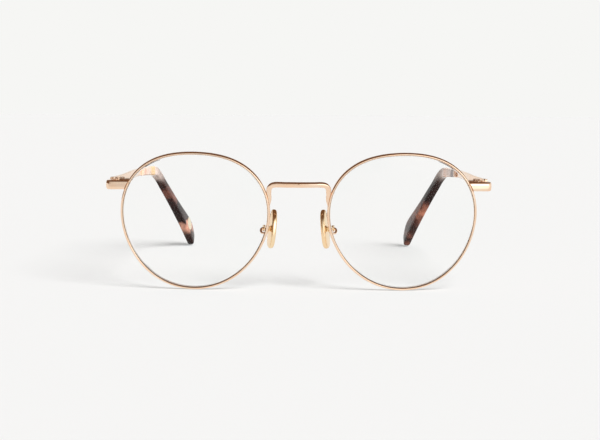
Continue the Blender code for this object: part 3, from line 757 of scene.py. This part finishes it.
def bar_size(distance):
    share = min(1.0, distance / JUNCTION)
    half = (BAR_START_HEIGHT + (BAR_END_HEIGHT - BAR_START_HEIGHT) * share) / 2
    end = min(distance, JUNCTION - FIT - distance)
    ease = 0.12 * MM * max(0.0, 1 - end / (0.2 * MM))
    return BAR_THICKNESS / 2 - ease, half - ease, half - ease


def core_size(distance):
    return CORE_HALF[0], CORE_HALF[1], CORE_HALF[1]


def channel_size(distance):
    return CORE_HALF[0] + FIT, CORE_HALF[1] + FIT, CORE_HALF[1] + FIT


TIP_TABLE = [
    (0.0, 1.45, 2.1, 2.2),
    (2.4, 1.60, 2.2, 4.2),
    (5.0, 1.70, 2.25, 5.9),
    (7.0, 1.75, 2.3, 6.6),
    (9.5, 1.75, 2.3, 6.6),
    (13.0, 1.75, 2.3, 5.9),
    (20.0, 1.75, 2.25, 4.2),
    (28.0, 1.70, 2.2, 2.8),
    (38.0, 1.60, 2.15, 2.25),
    (50.0, 1.55, 2.1, 2.1),
    (66.0, 1.50, 1.8, 1.8),
    (90.0, 1.25, 1.45, 1.45),
]
TIP_ROUNDING = 2.4 * MM


def tip_size(left):
    """Half thickness, reach down and reach up of the acetate, by the length left to its end."""
    half, down, rise = (value * MM for value in eased(TIP_TABLE, left / MM, 1.2))
    if left < TIP_ROUNDING:
        closing = math.sqrt(max(0.03, 1 - (1 - left / TIP_ROUNDING) ** 2))
        half, down, rise = half * closing, down * closing, rise * closing
    return half, down, rise


def temple_mesh(path):
    """The flat metal bar, which steps down to the core inside the acetate."""
    stop = JUNCTION - FIT
    ends = (0.08 * MM, 0.2 * MM, stop - 0.2 * MM, stop - 0.08 * MM)
    rings = section_rings(path, 0.0, stop, bar_size, 28, BAR_POWER, ends)
    rings += section_rings(path, stop, path[-1][0] - CORE_STOP, core_size, 28, CORE_POWER)
    mesh = loft("temple_metal", rings)
    mesh.transform(HINGE)
    return mesh


def acetate_mesh(path):
    """The acetate tip: an outer skin and the core's channel, which opens at the front end."""
    end = path[-1][0]
    rounding = [end - step * MM for step in (0.05, 0.15, 0.35, 0.6, 0.95, 1.35, 1.8, 2.3)]
    lip = 0.2 * MM

    def skin(at):
        ease = 0.15 * MM * max(0.0, 1 - (at - JUNCTION) / lip)
        return [value - ease for value in tip_size(end - at)]

    front_edge = [JUNCTION + 0.07 * MM, JUNCTION + lip]
    outer = section_rings(path, JUNCTION, end, skin, 40, TIP_POWER, rounding + front_edge)
    deepest = end - CORE_STOP + 0.6 * MM
    channel = section_rings(path, JUNCTION, deepest, channel_size, 40, CORE_POWER)
    mesh = loft("tip_acetate", channel[::-1] + outer)
    mesh.transform(HINGE)
    return mesh


def inlay_place(path):
    """The disc's frame on the inner face of the tip: Z points into the acetate."""
    at = path[-1][0] - INLAY_STATION
    near = stations(path, at - MM, at + MM)
    point, out, up = frames([p for _, p in near], Vector((1, 0, 0)))[len(near) // 2]
    half, down, rise = tip_size(INLAY_STATION)
    turn = Matrix((up, out.cross(up), out)).transposed().to_4x4()
    turn.translation = point + up * (rise - down + 0.8 * MM) / 2 - out * half
    return HINGE @ turn


def inlay_meshes(path):
    """The recess's cutter and the slightly domed disc that fills it."""
    place = inlay_place(path)
    wide, deep = INLAY_RADIUS + FIT, INLAY_DEPTH
    recess = lathe("recess", [(0, -2 * MM), (wide, -2 * MM), (wide, deep), (0, deep)], 64)
    floor = deep - FIT
    profile = [(0, -0.10), (0.9, -0.098), (1.8, -0.09), (2.55, -0.07), (2.72, -0.05)]
    profile += [(2.82, -0.01), (2.88, 0.06)]
    profile = [(r * MM, z * MM) for r, z in profile]
    profile += [(INLAY_RADIUS, 0.12 * MM), (INLAY_RADIUS, floor), (0, floor)]
    disc = lathe("inlay_disc", profile, 64)
    for mesh in (recess, disc):
        mesh.transform(place)
    return recess, disc


# ---- Nose pads ----------------------------------------------------------------------------
def pad_matrix():
    """The pad's frame: X across it (front to back), Y along it (up), Z out from its outer face."""
    along = Vector((-math.sin(PAD_LEAN), 0, math.cos(PAD_LEAN)))
    lean, splay = PAD_LEAN, PAD_SPLAY
    outward = Vector(
        (math.cos(lean) * math.cos(splay), -math.sin(splay), math.sin(lean) * math.cos(splay))
    )
    across = along.cross(outward)
    turn = Matrix((across, along, outward)).transposed().to_4x4()
    turn.translation = PAD_CENTRE + outward * (PAD_SIZE[2] / 2 + PAD_PIVOT)
    return turn


def pad_outline(inset, count=72):
    """The pad's outline, moved in by a distance along its own normals."""
    points = [
        Vector((x * (1 - PAD_TAPER * y / (PAD_SIZE[1] / 2)), y))
        for x, y in oval(PAD_SIZE[0] / 2, PAD_SIZE[1] / 2, count, PAD_POWER)
    ]
    made = []
    for i, point in enumerate(points):
        along = (points[(i + 1) % count] - points[i - 1]).normalized()
        made.append(point - Vector((along.y, -along.x)) * inset)
    return made


def pad_mesh():
    """An oval plate with rounded edges and gently crowned faces, and the tab that hangs it."""
    edge, half = 0.70 * MM, PAD_SIZE[2] / 2
    crown = 0.12 * MM
    middle = -PAD_PIVOT - half
    layers = []
    for step in range(-8, 9):
        turn = math.radians(90) * step / 8
        inset = edge * (1 - math.cos(turn)) + crown * 0.2
        rise = math.copysign(half - edge - crown, step) if step else 0.0
        layers.append((inset, rise + edge * math.sin(turn)))
    wall = []
    for inset, z in layers:
        wall.append([Vector((p.x, p.y, middle + z)) for p in pad_outline(inset)])
    inner = pad_outline(edge)
    caps = []
    for side in (-1, 1):
        rings = []
        for share in (0.8, 0.55, 0.28):
            lift = half - crown * share**2
            rings.append([Vector((p.x * share, p.y * share, middle + side * lift)) for p in inner])
        caps.append(rings)
    plate = loft("pad_plate", caps[0][::-1] + wall + caps[1])
    low = -PAD_PIVOT - 0.5 * MM
    tab_rings = []
    for z, shrink in ((low, 0.0), (0.35 * MM, 0.0), (0.52 * MM, 0.08 * MM), (0.6 * MM, 0.2 * MM)):
        corners = oval(0.40 * MM - shrink / 2, 0.75 * MM - shrink, 24, TAB_POWER)
        tab_rings.append([Vector((x, y, z)) for x, y in corners])
    hole = lathe("hole", [(0, -2 * MM), (0.4 * MM, -2 * MM), (0.4 * MM, 2 * MM), (0, 2 * MM)], 32)
    hole.transform(Matrix.Rotation(math.pi / 2, 4, "Y"))
    tab = cut(loft("tab", tab_rings), [hole])
    mesh = joined("pad_plate", [plate, tab])
    mesh.transform(pad_matrix())
    return mesh


def pad_wire_mesh():
    """The bent wire from its brazed foot on the back of the rim to the pad's box."""
    matrix = pad_matrix()
    foot = LENS @ rim_point(PAD_FOOT_ANGLE, 0, RIM_HALF_DEPTH - 0.05 * MM)
    box_back = matrix @ Vector((0, 0, 1.25 * MM))
    outward = matrix.to_3x3() @ Vector((0, 0, 1))
    route = bezier(
        [
            foot,
            foot + Vector((0.1, 1.5, 0.1)) * MM,
            foot + Vector((2.0, 2.8, -1.6)) * MM,
            box_back + outward * 1.3 * MM + Vector((0.0, -0.3, -0.8)) * MM,
            box_back + outward * 0.8 * MM,
            box_back,
        ],
        WIRE_STEPS,
    )
    rings, travelled, side = [], 0.0, Vector((0, 0, 1))
    for i, point in enumerate(route):
        along = (route[min(i + 1, WIRE_STEPS)] - route[max(i - 1, 0)]).normalized()
        side = (side - along * side.dot(along)).normalized()
        other = along.cross(side)
        travelled += (point - route[max(i - 1, 0)]).length
        radius = 0.40 * MM + 0.22 * MM * max(0.0, 1 - travelled / (0.9 * MM)) ** 2
        rings.append([point + side * a + other * b for a, b in oval(radius, radius, 20)])
    return loft("pad_wire", rings)


# ---- Assembly of the shown pieces ---------------------------------------------------------
FRONTS = ("front", "front")
TEMPLES = ("left_temple", "right_temple")
PADS = ("left_pad", "right_pad")

show_pair("rim_wire", rim_mesh(), GOLD, FRONTS, "rim", 50)
CLEAR = (GLASS, GLASS_EDGE_PAINTED_REFLECTION)
for glass in show_pair("lens_glass", lens_mesh(), CLEAR, FRONTS, "lens", 30):
    glass.visible_shadow = False
show("bridge_bar", bridge_mesh(), GOLD, "front", ["bridge"])
show_pair("end_strip", endpiece_mesh(), GOLD, FRONTS, "endpiece")

path = temple_path()
show_pair("temple_metal", temple_mesh(path), GOLD, TEMPLES, "temple_bar")
recess, disc = inlay_meshes(path)
whole_tip = acetate_mesh(path)
cut_tip = flipped(cut(whole_tip.copy(), [recess]))
show("tip_acetate_left", whole_tip, ACETATE_LEFT, "left_temple", ["temple_tip_left"])
show("tip_acetate_right", cut_tip, ACETATE_RIGHT, "right_temple", ["temple_tip_right"])
show("inlay_disc", flipped(disc), INLAY, "right_temple", ["tip_inlay_right"])

show_pair("pad_plate", pad_mesh(), PAD_GOLD, PADS, "nose_pad")
show_pair("pad_wire", pad_wire_mesh(), GOLD, FRONTS, "pad_arm", 60)

# The small machined pieces keep their CAD meshes, with eased edges and plated looks.
for node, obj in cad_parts.items():
    if obj.hide_render:
        continue
    is_screw = "screw" in node
    obj.data.materials.clear()
    obj.data.materials.append(SCREW if is_screw else PAD_GOLD if "pad_box" in node else GOLD)
    weld = obj.modifiers.new("weld", "WELD")
    weld.merge_threshold = 0.0005 * MM
    ease = obj.modifiers.new("eased_edges", "BEVEL")
    ease.width = (0.05 if is_screw else 0.10) * MM
    ease.segments = 3
    ease.limit_method = "ANGLE"
    ease.angle_limit = math.radians(38)
    ease.use_clamp_overlap = True
    even = obj.modifiers.new("even_shading", "WEIGHTED_NORMAL")
    even.keep_sharp = False
    for polygon in obj.data.polygons:
        polygon.use_smooth = True

# ---- Floor, room, key light and camera ----------------------------------------------------
work = bmesh.new()
bmesh.ops.create_circle(work, cap_ends=True, segments=96, radius=FLOOR_RADIUS)
floor = bpy.data.objects.new("floor", mesh_from(work, "floor"))
bpy.context.scene.collection.objects.link(floor)


def paper_floor():
    """Pale paper. Polished metal also sees a brown card, a dark slit and a bright card lying in
    front of the glasses.
    """
    look = Look(
        "paper_floor",
        Base_Color=(FLOOR_WHITE, FLOOR_WHITE, FLOOR_WHITE, 1.0),
        Emission_Color=(*FLOOR_TINT, 1.0),
        Roughness=0.9,
        Specular_IOR_Level=0.0,
    )
    sideways = look.axis(0)
    brown_card = look.range(sideways, -0.030, 0.005, 0.45, 1.0)
    before_slit = look.range(sideways, -0.010, -0.004, 1.0, 0.1)
    past_slit = look.range(sideways, 0.004, 0.010, 0.1, 1.0)
    slit = look.math("MAXIMUM", before_slit, past_slit)
    bright_card = look.range(sideways, 0.015, 0.040, 1.0, 2.4)
    cards = look.product(brown_card, slit, bright_card)
    in_front = look.range(look.axis(1), -0.30, -0.12, 1.0, 0.0)
    mirrored = look.product(look.ray("Is Glossy Ray"), in_front)
    change = look.product(mirrored, look.math("SUBTRACT", cards, 1.0))
    glow = look.product(look.math("ADD", change, 1.0), FLOOR_GLOW)
    look.link(glow, look.shader.inputs["Emission Strength"])
    return look.material


floor.data.materials.append(paper_floor())


def build_room():
    """A pale room that is darker overhead and to one side, so that polished metal has lines in it.

    A camera ray that misses the floor sees the plain backdrop.
    """
    world = bpy.data.worlds.new("studio")
    bpy.context.scene.world = world
    room = Nodes(world, "Generated")
    across, ahead, up = (room.axis(index) for index in range(3))
    overhead = room.range(up, 0.14, 0.50, 1.0, 0.0)
    flank = room.range(across, -0.82, -0.50, 0.0, 1.0)
    before = room.range(ahead, -0.70, -0.35, 1.0, 0.0)
    dusk = room.range(across, -0.30, 0.02, 0.45, 0.0)
    past_gap = room.range(across, -0.035, -0.015, 0.0, 1.0)
    gap = room.product(past_gap, room.range(across, 0.015, 0.035, 1.0, 0.0))
    shade = room.product(before, room.math("ADD", dusk, gap))
    bright = room.product(overhead, flank, room.range(shade, 0.0, 1.0, 1.0, 0.0))
    tone = room.mix(bright, ROOM_SHADE, BACKDROP)
    softbox = room.product(room.range(across, 0.04, 0.16, 0.0, 1.6), before, overhead)
    direct = room.ray("Is Camera Ray")
    unseen = room.math("SUBTRACT", 1.0, direct)
    strength = room.math("ADD", 1.0, room.product(softbox, unseen))
    background = room.nodes["Background"]
    room.link(room.mix(direct, tone, BACKDROP), background.inputs["Color"])
    room.link(strength, background.inputs["Strength"])


build_room()

key = bpy.data.objects.new("key", bpy.data.lights.new("key", "SUN"))
bpy.context.scene.collection.objects.link(key)
key.data.energy = KEY_ENERGY
key.data.angle = KEY_SPREAD
key.location = KEY_PLACE
key.rotation_mode = "QUATERNION"
key.rotation_quaternion = (-KEY_PLACE).to_track_quat("-Z", "Y")
key.visible_glossy = False
key.visible_transmission = False

camera = bpy.data.objects.new("camera", bpy.data.cameras.new("camera"))
bpy.context.scene.collection.objects.link(camera)
camera.data.sensor_width = 36.0
camera.data.sensor_fit = "HORIZONTAL"
camera.data.lens = CAMERA_LENS
camera.data.clip_start = 0.01
camera.data.clip_end = 50.0
camera.matrix_world = (
    Matrix.Translation(CAMERA_PLACE)
    @ Matrix.Rotation(math.pi / 2 - CAMERA_PITCH, 4, "X")
    @ Matrix.Rotation(CAMERA_ROLL, 4, "Z")
)
bpy.context.scene.camera = camera
bpy.context.scene.view_settings.view_transform = "Standard"
